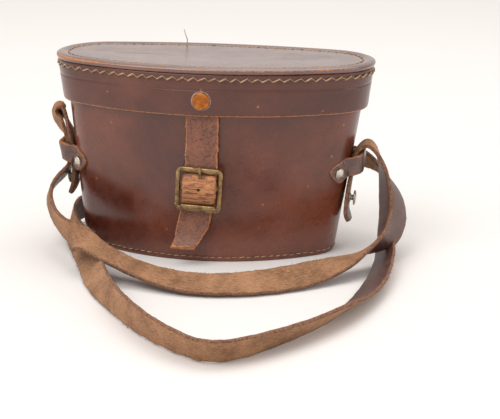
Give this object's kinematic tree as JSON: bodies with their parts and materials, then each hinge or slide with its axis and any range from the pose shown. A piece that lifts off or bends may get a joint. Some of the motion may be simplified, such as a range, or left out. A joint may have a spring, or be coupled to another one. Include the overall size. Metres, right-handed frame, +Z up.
{
  "type": "binocular case",
  "caption": "Oval leather hard case for binoculars with a hinged lid, a buckled front strap, side loops and a long shoulder strap.",
  "frame": {"origin": "on the table, midway between the case's two round ends and on the line through their centres", "axes": "+Z up, -Y out of the front face with the buckle, +X to the right of someone facing the front"},
  "size_m": [0.2138, 0.2436, 0.1125],
  "materials": {
    "case_leather": "glossy red-brown leather, worn at the edges",
    "strap_leather": "cracked grey-brown leather with orange cut edges",
    "loop_leather": "glossy brown leather with orange cut edges",
    "shoulder_leather": "brown leather, dull flesh side",
    "lining_cloth": "short napped cloth",
    "thread": "waxed tan thread",
    "buckle_brass": "aged, dull",
    "copper_cap": "coppered, rubbed",
    "nickel": "worn nickel plate"
  },
  "bodies": {
    "case": {"body_wall": "case_leather", "base_plate": "case_leather", "base_stitching": "thread", "body_lining": "lining_cloth", "hinge_leaf_body": "case_leather", "hinge_stitching_body": "thread", "back_seam_stitching": "thread", "buckle_chape": "strap_leather", "chape_rivet": "copper_cap", "chape_burr": "copper_cap", "loop_right": "loop_leather", "loop_left": "loop_leather", "loop_rivet_right_front": "nickel", "loop_rivet_right_back": "nickel", "loop_rivet_left_front": "nickel", "loop_rivet_left_back": "nickel", "loop_burrs_left": "nickel", "loop_burrs_right": "nickel", "shoulder_strap": "shoulder_leather", "stud_left": "nickel", "stud_right": "nickel", "stud_screw_left": "nickel", "stud_screw_right": "nickel"},
    "lid": {"lid_band": "case_leather", "lid_top": "case_leather", "lid_stitching": "thread", "lid_lining": "lining_cloth", "hinge_leaf_lid": "case_leather", "hinge_stitching_lid": "thread", "strap_rivet": "copper_cap", "strap_rivet_burr": "copper_cap"},
    "strap": {"closing_strap": "strap_leather"},
    "buckle": {"buckle_frame": "buckle_brass"},
    "prong": {"buckle_prong": "buckle_brass"}
  },
  "joints": [
    {"name": "lid_hinge", "type": "hinge", "parent": "case", "child": "lid", "pos_m": [0, 0.03255, 0.0851], "axis": [-1, 0, 0], "range_deg": [0, 115]},
    {"name": "strap_swing", "type": "hinge", "parent": "lid", "child": "strap", "pos_m": [0, -0.03938, 0.086], "axis": [-1, 0, 0], "range_deg": [0, 90], "deforming": ["closing_strap"]},
    {"name": "buckle_tilt", "type": "hinge", "parent": "case", "child": "buckle", "pos_m": [0, -0.04359, 0.0445], "axis": [1, 0, 0], "range_deg": [-20, 12]},
    {"name": "prong_swing", "type": "hinge", "parent": "buckle", "child": "prong", "pos_m": [0, -0.04359, 0.0445], "axis": [1, 0, 0], "range_deg": [0, 125]}
  ]
}
